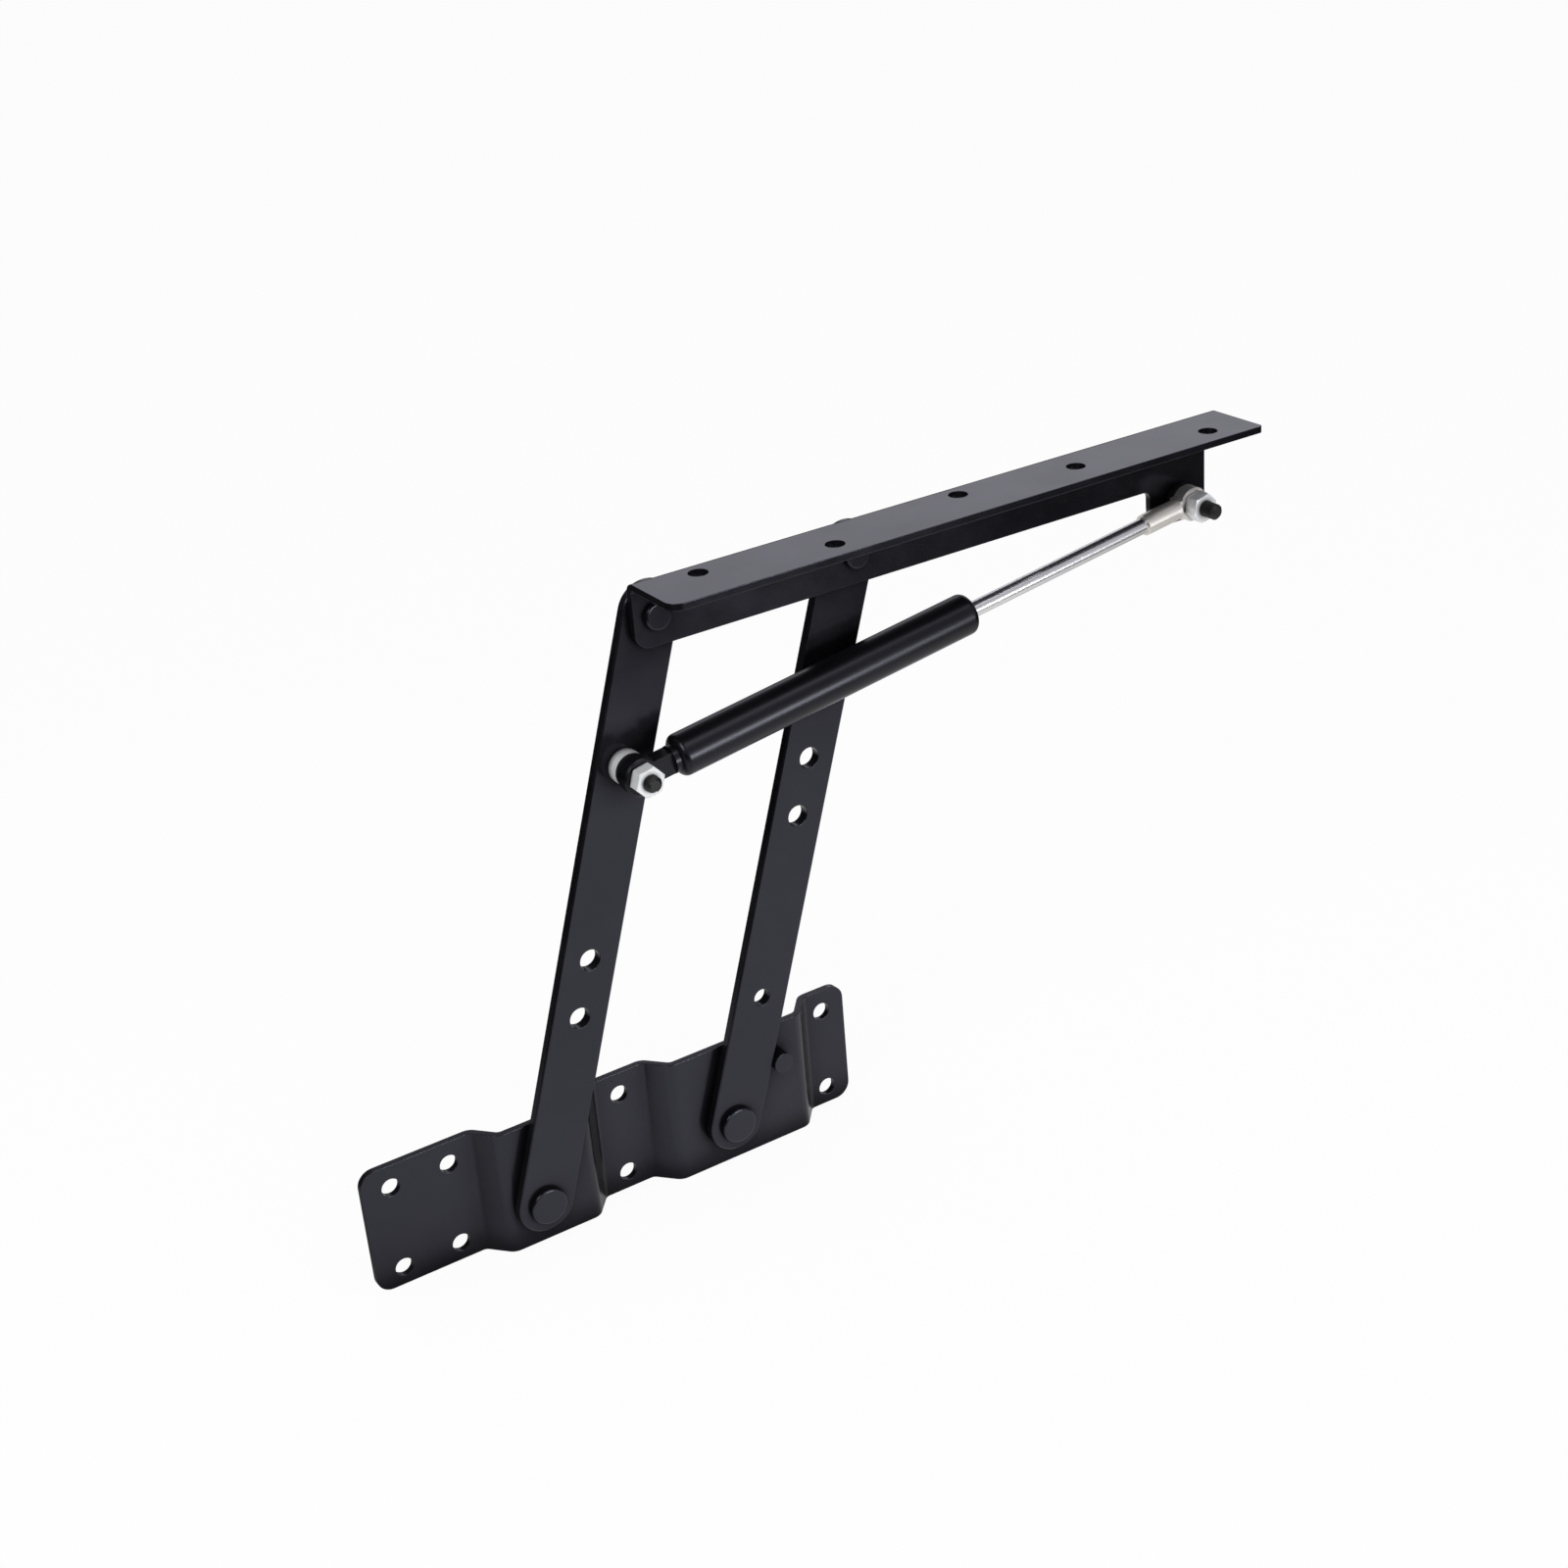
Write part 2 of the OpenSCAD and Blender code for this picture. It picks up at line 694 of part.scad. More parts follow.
module rod_guide() {
    color(brass) turned_on_strut(guide_x) ring_section(rod_d / 2 + run_gap, bore_r - run_gap, guide_l);
}

module rod_seal() {
    color(rubber) turned_on_strut(seal_x) ring_section(rod_d / 2 + run_gap, bore_r - run_gap, seal_l);
}

module piston_rod() {
    rod_l = sleeve_x + rod_grip - piston_x + peen_l;
    color(chrome) turned_on_strut(piston_x - peen_l) square([rod_d / 2, rod_l]);
}

module piston() {
    groove_x = (piston_l - ring_w) / 2;
    color(nickel) turned_on_strut(piston_x) difference() {
        ring_section(rod_d / 2 + run_gap, piston_r, piston_l);
        translate([piston_r - ring_depth, groove_x]) square([ring_depth + 1, ring_w]);
    }
}

module piston_ring() {
    color(rubber) turned_on_strut(piston_x + (piston_l - ring_w) / 2 + run_gap)
        ring_section(piston_r - ring_depth + run_gap, bore_r - run_gap, ring_w - 2 * run_gap);
}

module rod_end_eye() {
    color(nickel) along_strut() difference() {
        union() {
            translate([strut_l, 0, 0]) eye(rod_eye_r, rod_eye_t);
            translate([sleeve_end, -tongue_w / 2, -rod_eye_t / 2])
                cube([strut_l - sleeve_end, tongue_w, rod_eye_t]);
            translate([sleeve_x, 0, 0]) rotate([0, 90, 0])
                cylinder(d = sleeve_d, h = sleeve_end - sleeve_x + eps);
        }
        translate([strut_l, 0, -rod_eye_t]) cylinder(d = stud_d + 2 * run_gap, h = 2 * rod_eye_t);
        translate([sleeve_x - 1, 0, 0]) rotate([0, 90, 0]) cylinder(d = rod_d + 2 * run_gap, h = rod_grip + 1);
    }
}

module rod_stud() {
    color(blackened) {
        pin(ear_at, collar_d, rod_collar_back, rod_eye_back);
        front(ear_at, rod_collar_back) rotate_extrude() shank_section(rod_stud_end - rod_collar_back);
    }
}

module rod_nut() { color(zinc) hex_nut(ear_at, rod_eye_face, rod_nut_h, rod_nut_turn); }

base_plate();
left_base_rivet();
right_base_rivet();
left_base_washer();
right_base_washer();
stop_pin();
left_arm();
left_top_rivet();
tail_stud();
tail_washer();
tail_nut();
right_arm();
right_top_rivet();
top_rail();
left_top_washer();
right_top_washer();
ear_stud_root();
strut_tube();
tail_eye();
rod_guide();
rod_seal();
piston_rod();
piston();
piston_ring();
rod_end_eye();
rod_stud();
rod_nut();
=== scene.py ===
# %% [markdown]
# # A lift top table mechanism
# A sheet plate is screwed to the inside of a coffee table. Two parallel arms swing on it
# and carry an angle rail, which is screwed under the table's top, and a gas strut pushes
# them up. The rigid pieces come from the CAD frame, already in place and in metres, so this
# lesson gives them their finishes, cuts the threads of the two studs, and lights the whole
# as for a catalogue picture.

# %% Load the frame
import json
import math

import bmesh
import bpy
from mathutils import Matrix, Vector


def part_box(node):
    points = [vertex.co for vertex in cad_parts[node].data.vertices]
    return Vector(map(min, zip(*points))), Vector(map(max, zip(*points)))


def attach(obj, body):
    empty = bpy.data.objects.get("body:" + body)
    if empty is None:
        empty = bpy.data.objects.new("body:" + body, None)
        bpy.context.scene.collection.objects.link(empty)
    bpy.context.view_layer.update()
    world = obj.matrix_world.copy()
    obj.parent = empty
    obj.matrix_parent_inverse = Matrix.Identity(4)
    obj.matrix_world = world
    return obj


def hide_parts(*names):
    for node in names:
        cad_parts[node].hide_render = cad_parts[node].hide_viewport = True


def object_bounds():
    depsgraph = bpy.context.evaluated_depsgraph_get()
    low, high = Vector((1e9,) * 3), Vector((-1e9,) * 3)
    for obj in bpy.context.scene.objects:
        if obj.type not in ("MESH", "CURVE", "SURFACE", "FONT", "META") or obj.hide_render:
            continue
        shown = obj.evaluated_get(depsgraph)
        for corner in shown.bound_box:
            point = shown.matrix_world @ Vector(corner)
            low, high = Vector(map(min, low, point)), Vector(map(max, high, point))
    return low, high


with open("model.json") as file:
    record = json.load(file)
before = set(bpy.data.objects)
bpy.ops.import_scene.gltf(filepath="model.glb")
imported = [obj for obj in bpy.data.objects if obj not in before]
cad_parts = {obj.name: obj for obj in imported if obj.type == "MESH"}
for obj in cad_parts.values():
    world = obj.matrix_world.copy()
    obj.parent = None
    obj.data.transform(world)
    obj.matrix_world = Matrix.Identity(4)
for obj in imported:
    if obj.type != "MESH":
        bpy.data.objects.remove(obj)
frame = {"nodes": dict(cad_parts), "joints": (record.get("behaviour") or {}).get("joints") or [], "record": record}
cad_box = [list(corner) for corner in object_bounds()]
nodes = frame["nodes"]
MM = 0.001
print("nodes:", len(nodes), "box in mm:", [[round(v / MM, 1) for v in corner] for corner in cad_box])

# %% [markdown]
# ## The camera
# The picture was taken from the front left and above, with a slight tilt. The camera's place
# and turn were worked out from where the holes and corners lie in the picture. A camera looks
# down its own -Z axis, so three turns place it: up from the floor, round to the right, and a roll.
# Colours are shown as they are mixed, without a film look.

# %% Place the camera
CAMERA_AT = Vector((-0.2484, -0.6852, 0.5028))
LENS_MM, SENSOR_MM, FAR_CLIP = 55.9, 36.0, 50.0
YAW, PITCH, ROLL = (math.radians(angle) for angle in (31.0, 25.86, 4.83))

scene = bpy.context.scene
scene.view_settings.view_transform = "Standard"
camera_data = bpy.data.cameras.new("catalogue_camera")
camera_data.sensor_width = SENSOR_MM
camera_data.lens = LENS_MM
camera_data.clip_end = FAR_CLIP
camera = bpy.data.objects.new("catalogue_camera", camera_data)
scene.collection.objects.link(camera)
turn = Matrix.Rotation(-YAW, 4, "Z") @ Matrix.Rotation(math.pi / 2 - PITCH, 4, "X")
turn = turn @ Matrix.Rotation(-ROLL, 4, "Z")
camera.matrix_world = Matrix.Translation(CAMERA_AT) @ turn
scene.camera = camera
print("camera looks along", [round(v, 3) for v in turn @ Vector((0, 0, -1))])

# %% [markdown]
# ## Small helpers for node trees
# Shaders are trees of nodes, and the same few steps come back in each of them: join two sockets,
# do a sum, pick one of two values, and stretch a value to a range. One short helper for each
# keeps the cells below short, and a number may stand wherever a socket may.

# %% Helpers for node trees
def feed(tree, value, socket):
    """Gives a socket a plain number, or the output of another node."""
    if isinstance(value, (int, float)):
        socket.default_value = value
    else:
        tree.links.new(value, socket)


def math_node(tree, operation, first, second):
    """A math node whose two inputs are sockets or numbers."""
    node = tree.nodes.new("ShaderNodeMath")
    node.operation = operation
    feed(tree, first, node.inputs[0])
    feed(tree, second, node.inputs[1])
    return node.outputs[0]


def choose(tree, mask, off, on):
    """One of two values, by a mask."""
    node = tree.nodes.new("ShaderNodeMix")
    feed(tree, mask, node.inputs["Factor"])
    feed(tree, off, node.inputs["A"])
    feed(tree, on, node.inputs["B"])
    return node.outputs["Result"]


def spread(tree, value, low, high, to_low=0.0, to_high=1.0, smooth=False):
    """Stretches the part of a value between low and high, and cuts off the rest."""
    node = tree.nodes.new("ShaderNodeMapRange")
    node.interpolation_type = "SMOOTHSTEP" if smooth else "LINEAR"
    for label, number in zip(("From Min", "From Max", "To Min", "To Max"), (low, high, to_low, to_high)):
        node.inputs[label].default_value = number
    feed(tree, value, node.inputs["Value"])
    return node.outputs["Result"]


def vector_node(tree, operation, first, second):
    """A vector math node on a socket and a plain vector."""
    node = tree.nodes.new("ShaderNodeVectorMath")
    node.operation = operation
    tree.links.new(first, node.inputs[0])
    node.inputs[1].default_value = second
    return node


print("node helpers ready")

# %% [markdown]
# ## The white sheet
# The object stands on a white sheet. Black paint has hardly any colour of its own, so what shows
# on it is the sheet's reflection: bright low down, where the paint faces the lit sheet close by,
# and dark higher up, where it faces the room beyond. One even glow can't give that, so mirror rays
# meet a pool of light in front of the plate, and a second one behind it for whoever walks round to
# the back. The camera itself sees plain white with a breath of the object's shadow.

# %% Lay the sheet
SHEET_DROP, SHEET_HALF = 0.5 * MM, 8.0
sheet_level = cad_box[0][2] - SHEET_DROP

sheet_mesh = bmesh.new()
bmesh.ops.create_grid(sheet_mesh, x_segments=1, y_segments=1, size=SHEET_HALF)
bmesh.ops.translate(sheet_mesh, verts=sheet_mesh.verts, vec=(0, 0, sheet_level))
sheet_data = bpy.data.meshes.new("white_sheet")
sheet_mesh.to_mesh(sheet_data)
sheet_mesh.free()
white_sheet = bpy.data.objects.new("white_sheet", sheet_data)
scene.collection.objects.link(white_sheet)
print("sheet lies at", round(sheet_level / MM, 2), "mm")

# %% Pour the pools of light
FRONT_AT, FRONT_STRETCH, FRONT_EDGE, FRONT_GLOW = (0.15, -0.20, 0.0), (0.62, 1, 0), (0.15, 0.36), 0.78
REAR_AT, REAR_STRETCH, REAR_EDGE, REAR_GLOW = (0.30, 0.30, 0.0), (1, 1, 0), (0.18, 0.50), 0.90
REAR_BEGINS, FRONT_BEGINS = 0.03, -0.04

sheet_paper = bpy.data.materials.new("sheet_paper")
sheet_paper.use_nodes = True
tree = sheet_paper.node_tree
tree.nodes.clear()
spot = tree.nodes.new("ShaderNodeTexCoord").outputs["Object"]


def light_pool(tree, spot, centre, stretch, edge, glow):
    """A pool of light on the sheet that fades from an inner to an outer radius round its centre."""
    offset = vector_node(tree, "SUBTRACT", spot, centre).outputs[0]
    away = tree.nodes.new("ShaderNodeVectorMath")
    away.operation = "LENGTH"
    tree.links.new(vector_node(tree, "MULTIPLY", offset, stretch).outputs[0], away.inputs[0])
    return spread(tree, away.outputs["Value"], *edge, glow, 0.0, smooth=True)


depth = tree.nodes.new("ShaderNodeSeparateXYZ")
tree.links.new(spot, depth.inputs[0])
in_front = spread(tree, depth.outputs["Y"], REAR_BEGINS, FRONT_BEGINS, smooth=True)
behind = math_node(tree, "SUBTRACT", 1.0, in_front)
front_pool = light_pool(tree, spot, FRONT_AT, FRONT_STRETCH, FRONT_EDGE, FRONT_GLOW)
rear_pool = light_pool(tree, spot, REAR_AT, REAR_STRETCH, REAR_EDGE, REAR_GLOW)
front_pool = math_node(tree, "MULTIPLY", front_pool, in_front)
pool = math_node(tree, "ADD", front_pool, math_node(tree, "MULTIPLY", rear_pool, behind))
print("pools at", FRONT_AT[:2], "and", REAR_AT[:2])

# %% Paint the sheet
SHEET_TONE, SHADOW_SHARE = 0.82, 0.06

path = tree.nodes.new("ShaderNodeLightPath")
matt = tree.nodes.new("ShaderNodeBsdfDiffuse")
matt.inputs["Color"].default_value = (SHEET_TONE, SHEET_TONE, SHEET_TONE, 1)
glow = tree.nodes.new("ShaderNodeEmission")
feed(tree, choose(tree, path.outputs["Is Glossy Ray"], 1.0, pool), glow.inputs["Strength"])
direct = math_node(tree, "MAXIMUM", path.outputs["Is Camera Ray"], path.outputs["Is Transmission Ray"])
share = math_node(tree, "MULTIPLY", direct, 1 - SHADOW_SHARE)
share = math_node(tree, "MAXIMUM", share, path.outputs["Is Glossy Ray"])
blend = tree.nodes.new("ShaderNodeMixShader")
feed(tree, share, blend.inputs["Fac"])
tree.links.new(matt.outputs[0], blend.inputs[1])
tree.links.new(glow.outputs[0], blend.inputs[2])
tree.links.new(blend.outputs[0], tree.nodes.new("ShaderNodeOutputMaterial").inputs["Surface"])
sheet_data.materials.append(sheet_paper)
print("share of the sheet's tone that takes the shadow:", SHADOW_SHARE)

# %% [markdown]
# ## The room and the lamps
# The room fills the shade evenly. In a mirror it is dark, apart from two pale walls: a level band
# high behind the object, slightly cool, which lights the rail's broad top, and a dimmer one in
# front, which the chromed rod shows. Two soft boxes draw the two streaks along the round tube: one
# hangs overhead, the other stands low in front. The low one ends just above the rail, so that the
# rail's top doesn't throw its light at somebody behind the object. A third box, high on the left,
# lights the left faces of the nuts. It hangs too high for the arms' upright edges to mirror it.

# %% Raise the pale walls
room = bpy.data.worlds.new("studio_room")
scene.world = room
room.use_nodes = True
tree = room.node_tree
tree.nodes.clear()


def pale_wall(tree, direction, strength, inner, outer):
    """A patch of the room that fades from the inner to the outer angle round a direction."""
    sky = tree.nodes.new("ShaderNodeTexCoord").outputs["Generated"]
    facing = vector_node(tree, "DOT_PRODUCT", sky, Vector(direction).normalized()).outputs["Value"]
    edge = (math.cos(math.radians(angle)) for angle in (outer, inner))
    return spread(tree, facing, *edge, 0.0, strength, smooth=True)


def level_band(tree, rise, fall):
    """A level band of the room, by the sines of the heights where it begins and where it ends."""
    height = tree.nodes.new("ShaderNodeSeparateXYZ")
    tree.links.new(tree.nodes.new("ShaderNodeTexCoord").outputs["Generated"], height.inputs[0])
    lower = spread(tree, height.outputs["Z"], *rise, smooth=True)
    upper = spread(tree, height.outputs["Z"], *fall, 1.0, 0.0, smooth=True)
    return math_node(tree, "MULTIPLY", lower, upper)


back_wall = pale_wall(tree, (0.60, 0.70, 0.36), strength=1.10, inner=25, outer=60)
back_band = level_band(tree, rise=(0.10, 0.26), fall=(0.42, 0.58))
back_wall = math_node(tree, "MULTIPLY", back_wall, back_band)
front_wall = pale_wall(tree, (0.35, -0.80, 0.45), strength=0.38, inner=28, outer=58)
print("pale walls in:", room.name)

# %% Fill the room
ROOM_FILL = 0.62
ROOM_DARK = 0.04
WALL_HUE = (0.93, 0.92, 1.0, 1)

mirrored = math_node(tree, "ADD", math_node(tree, "ADD", back_wall, front_wall), ROOM_DARK)
path = tree.nodes.new("ShaderNodeLightPath")
level = choose(tree, path.outputs["Is Glossy Ray"], ROOM_FILL, mirrored)
level = choose(tree, path.outputs["Is Transmission Ray"], level, 1.0)
level = choose(tree, path.outputs["Is Camera Ray"], level, 1.0)
air = tree.nodes.new("ShaderNodeBackground")
feed(tree, level, air.inputs["Strength"])
hue = tree.nodes.new("ShaderNodeMix")
hue.data_type = "RGBA"
feed(tree, path.outputs["Is Glossy Ray"], hue.inputs["Factor"])
hue.inputs["A"].default_value = (1, 1, 1, 1)
hue.inputs["B"].default_value = WALL_HUE
tree.links.new(hue.outputs["Result"], air.inputs["Color"])
tree.links.new(air.outputs[0], tree.nodes.new("ShaderNodeOutputWorld").inputs["Surface"])
print("room fill:", ROOM_FILL)

# %% Hang the soft boxes
middle = (Vector(cad_box[0]) + Vector(cad_box[1])) / 2


def soft_box(name, direction, distance, size, watts):
    """A rectangular lamp that looks at the object's middle, with its long side level."""
    data = bpy.data.lights.new(name, "AREA")
    data.shape = "RECTANGLE"
    data.size, data.size_y = size
    data.energy = watts
    lamp = bpy.data.objects.new(name, data)
    scene.collection.objects.link(lamp)
    way = Vector(direction).normalized()
    lamp.location = middle + distance * way
    lamp.rotation_euler = way.to_track_quat("Z", "Y").to_euler()
    return lamp


soft_box("upper_box", direction=(0.25, -0.38, 0.89), distance=1.3, size=(1.2, 0.40), watts=2.4)
soft_box("low_box", direction=(0.34, -1.126, 0.0135), distance=1.18, size=(0.50, 0.25), watts=6.4)
soft_box("left_box", direction=(-0.70, -0.30, 0.65), distance=1.2, size=(0.50, 0.50), watts=5.0)

# %% [markdown]
# ## Effects that several finishes share
# No real edge is perfectly sharp, and a coat or a plating breaks up when seen closely. Each of
# these effects is a node group with named sockets: it is built once, and each finish places it
# with its own values.

# %% Helpers for node groups
def new_group(name, inputs, outputs):
    """A shader node group with float inputs (name, default) and typed outputs (name, type)."""
    group = bpy.data.node_groups.new(name, "ShaderNodeTree")
    for label, default in inputs:
        socket = group.interface.new_socket(name=label, in_out="INPUT", socket_type="NodeSocketFloat")
        socket.default_value = default
    for label, kind in outputs:
        group.interface.new_socket(name=label, in_out="OUTPUT", socket_type=kind)
    return group, group.nodes.new("NodeGroupInput"), group.nodes.new("NodeGroupOutput")


def noise_node(tree, vector, scale, detail=2.0, roughness=0.5):
    """A noise texture on the given coordinates, as a value from 0 to 1."""
    node = tree.nodes.new("ShaderNodeTexNoise")
    node.inputs["Detail"].default_value = detail
    node.inputs["Roughness"].default_value = roughness
    tree.links.new(vector, node.inputs["Vector"])
    feed(tree, scale, node.inputs["Scale"])
    return node.outputs["Fac"]


print("group helpers ready")

# %% Softened edges
EDGE_SAMPLES, RIM_RANGE, RAGGED_RANGE = 8, (0.01, 0.2), (0.3, 0.7)

edges, edges_in, edges_out = new_group(
    "softened_edges",
    [("Radius", 0.4 * MM), ("Breakup", 900.0)],
    [("Normal", "NodeSocketVector"), ("Edge", "NodeSocketFloat")],
)
rounding = edges.nodes.new("ShaderNodeBevel")
rounding.samples = EDGE_SAMPLES
edges.links.new(edges_in.outputs["Radius"], rounding.inputs["Radius"])
facing = edges.nodes.new("ShaderNodeVectorMath")
facing.operation = "DOT_PRODUCT"
edges.links.new(rounding.outputs[0], facing.inputs[0])
edges.links.new(edges.nodes.new("ShaderNodeNewGeometry").outputs["Normal"], facing.inputs[1])
rim = spread(edges, math_node(edges, "SUBTRACT", 1.0, facing.outputs["Value"]), *RIM_RANGE)
place = edges.nodes.new("ShaderNodeTexCoord").outputs["Object"]
ragged = noise_node(edges, place, edges_in.outputs["Breakup"], detail=3.0)
ragged = spread(edges, ragged, *RAGGED_RANGE)
# The Edge mask carries the coats' paler edge colour: partly a coat worn thin, partly a painted highlight.
edges.links.new(math_node(edges, "MULTIPLY", rim, ragged), edges_out.inputs["Edge"])
edges.links.new(rounding.outputs[0], edges_out.inputs["Normal"])
print("group:", edges.name)

# %% The skin of a sprayed coat
PATCH_SCALE, PATCH_RANGE = 42.0, (0.35, 0.65)

skin, skin_in, skin_out = new_group(
    "coat_skin",
    [("Peel", 900.0), ("Grit", 2600.0), ("Grit share", 0.4)],
    [("Height", "NodeSocketFloat"), ("Patch", "NodeSocketFloat")],
)
place = skin.nodes.new("ShaderNodeTexCoord").outputs["Object"]
peel = noise_node(skin, place, skin_in.outputs["Peel"], detail=1.5)
grit = noise_node(skin, place, skin_in.outputs["Grit"], detail=2.0)
grit = math_node(skin, "MULTIPLY", grit, skin_in.outputs["Grit share"])
skin.links.new(math_node(skin, "ADD", peel, grit), skin_out.inputs["Height"])
patch = noise_node(skin, place, PATCH_SCALE, detail=4.0, roughness=0.6)
skin.links.new(spread(skin, patch, *PATCH_RANGE), skin_out.inputs["Patch"])
print("group:", skin.name)

# %% The fine lines of turned and plated metal
BLOOM_SCALE, BLOOM_RANGE = 260.0, (0.3, 0.7)

lines, lines_in, lines_out = new_group(
    "turning_lines",
    [("Pitch", 3500.0), ("Along X", 1.0), ("Along Y", 0.0), ("Along Z", 0.0)],
    [("Height", "NodeSocketFloat"), ("Bloom", "NodeSocketFloat")],
)
place = lines.nodes.new("ShaderNodeTexCoord").outputs["Object"]
axis = lines.nodes.new("ShaderNodeCombineXYZ")
for label, socket in zip("XYZ", axis.inputs):
    lines.links.new(lines_in.outputs["Along " + label], socket)
along = lines.nodes.new("ShaderNodeVectorMath")
along.operation = "DOT_PRODUCT"
lines.links.new(place, along.inputs[0])
lines.links.new(axis.outputs[0], along.inputs[1])
row = lines.nodes.new("ShaderNodeCombineXYZ")
stretched = math_node(lines, "MULTIPLY", along.outputs["Value"], lines_in.outputs["Pitch"])
lines.links.new(stretched, row.inputs["X"])
lines.links.new(noise_node(lines, row.outputs[0], 1.0, detail=3.0), lines_out.inputs["Height"])
bloom = noise_node(lines, place, BLOOM_SCALE, detail=4.0, roughness=0.6)
lines.links.new(spread(lines, bloom, *BLOOM_RANGE), lines_out.inputs["Bloom"])
print("group:", lines.name)

# %% [markdown]
# ## Coated and painted steel
# The plate, arms, rail and rivets wear a satin black powder coat with a bluish cast: fine orange
# peel, a slightly uneven sheen, and a paler line along each edge, partly a coat worn thin there and
# partly a painted highlight. In inside corners the coat's shine is turned down, a painted shade that
# draws a dark line along each bend and beside each arm. The tube is sprayed in smooth black paint,
# and the studs are only blackened.
# The softened edges go on the sheet pieces alone: on a round tube they would break up the streaks
# that the soft boxes draw.

# %% Helpers for finishes
def new_finish(name, colour, roughness, metallic=0.0, specular=0.5, sheen=(1.0, 1.0, 1.0)):
    """A material with one Principled shader, whose plain numbers are set on its own sockets."""
    material = bpy.data.materials.new(name)
    material.use_nodes = True
    shader = material.node_tree.nodes["Principled BSDF"]
    shader.inputs["Base Color"].default_value = (*colour, 1)
    shader.inputs["Roughness"].default_value = roughness
    shader.inputs["Metallic"].default_value = metallic
    shader.inputs["Specular IOR Level"].default_value = specular
    shader.inputs["Specular Tint"].default_value = (*sheen, 1)
    return material, material.node_tree, shader


def place_group(tree, group, **values):
    """Puts a node group into a material with its own values; an underscore stands for a space."""
    node = tree.nodes.new("ShaderNodeGroup")
    node.node_tree = group
    for label, value in values.items():
        node.inputs[label.replace("_", " ")].default_value = value
    return node


def tint(tree, fac, low, high):
    """A colour that goes from low to high with a mask; each is a colour or a socket."""
    node = tree.nodes.new("ShaderNodeMix")
    node.data_type = "RGBA"
    tree.links.new(fac, node.inputs["Factor"])
    for label, colour in (("A", low), ("B", high)):
        if isinstance(colour, tuple):
            node.inputs[label].default_value = (*colour, 1)
        else:
            tree.links.new(colour, node.inputs[label])
    return node.outputs["Result"]


print("finish helpers ready")

# %% Relief, inside corners and the sprayed coat
CORNER_SAMPLES = 8
# Over this reach the coat's shine is turned down in inside corners: painted shade.
COAT_SHADE_REACH, COAT_SHADE_RANGE, COAT_SHADED_SHINE = 12.0 * MM, (0.62, 0.97), 0.25


def emboss(tree, shader, height, distance, normal=None):
    """Bumps the shader's normal by a height, on top of softened edges where they are given."""
    bump = tree.nodes.new("ShaderNodeBump")
    bump.inputs["Distance"].default_value = distance
    tree.links.new(height, bump.inputs["Height"])
    if normal:
        tree.links.new(normal, bump.inputs["Normal"])
    tree.links.new(bump.outputs[0], shader.inputs["Normal"])


def openness(tree, reach, low, high, shut=0.0, free=1.0):
    """How open a spot is within a short reach: shut in an inside corner, free on a bare face."""
    node = tree.nodes.new("ShaderNodeAmbientOcclusion")
    node.samples = CORNER_SAMPLES
    node.inputs["Distance"].default_value = reach
    return spread(tree, node.outputs["AO"], low, high, shut, free)


def coat_finish(name, deep, pale, rough, peel, depth=None, specular=0.5, sheen=(1.0, 1.0, 1.0),
                worn_and_highlight=None, edge=None):
    """A sprayed coat, uneven in tone and sheen, with orange peel where a depth is given. With an edge
    radius it is a coat on sheet: paler along its edges, partly worn and partly a painted highlight,
    and with less shine in its inside corners, which is painted shade."""
    material, tree, shader = new_finish(name, deep, rough[0], specular=specular, sheen=sheen)
    film = place_group(tree, skin, Peel=peel)
    tone = tint(tree, film.outputs["Patch"], deep, pale)
    normal = None
    if edge:
        rims = place_group(tree, edges, Radius=edge)
        # A paler colour along the edges: partly a worn thin coat, partly a painted highlight.
        tone = tint(tree, rims.outputs["Edge"], tone, worn_and_highlight)
        normal = rims.outputs["Normal"]
        # Less shine where a spot is shut in: painted shade along the bends and beside the arms.
        shine = openness(tree, COAT_SHADE_REACH, *COAT_SHADE_RANGE, COAT_SHADED_SHINE * specular, specular)
        tree.links.new(shine, shader.inputs["Specular IOR Level"])
    tree.links.new(tone, shader.inputs["Base Color"])
    tree.links.new(spread(tree, film.outputs["Patch"], 0.0, 1.0, *rough), shader.inputs["Roughness"])
    if depth:
        emboss(tree, shader, film.outputs["Height"], depth, normal)
    return material


print("reach of a thin corner:", COAT_SHADE_REACH / MM, "mm")

# %% Satin powder coat, gloss paint and blackened steel
satin_black = coat_finish(
    "satin_powder_coat", (0.003, 0.003, 0.004), (0.005, 0.005, 0.006), (0.19, 0.23), peel=900.0,
    depth=0.010 * MM, specular=0.6, sheen=(0.78, 0.78, 1.0), worn_and_highlight=(0.012, 0.012, 0.015), edge=0.4 * MM)
gloss_black = coat_finish(
    "gloss_tube_paint", (0.002, 0.002, 0.003), (0.003, 0.003, 0.004), (0.30, 0.33), peel=300.0,
    specular=0.36, sheen=(0.85, 0.85, 1.0))
blackened = coat_finish(
    "blackened_stud_steel", (0.008, 0.008, 0.008), (0.013, 0.012, 0.012), (0.36, 0.48), peel=1800.0,
    depth=0.004 * MM, specular=0.4)
print("coats:", satin_black.name, gloss_black.name, blackened.name)

# %% [markdown]
# ## Bare and plated metal
# The nuts and the thick spacer washer are bright zinc with a faint cloudy bloom, and a painted shade
# darkens their inside corners. Zinc plating is satin: under the shine it scatters light as paint does,
# so it is set only partly metallic. The rod end's plating is a little warmer and nearly all metal. The
# rod is ground and hard chromed, and the guide inside the tube is brass.

# %% Zinc, nickel, chrome and brass
# Over this reach the metal's colour darkens in inside corners: painted shade.
CORNER_SHADE_REACH, CORNER_SHADE_RANGE = 4.0 * MM, (0.45, 0.85)


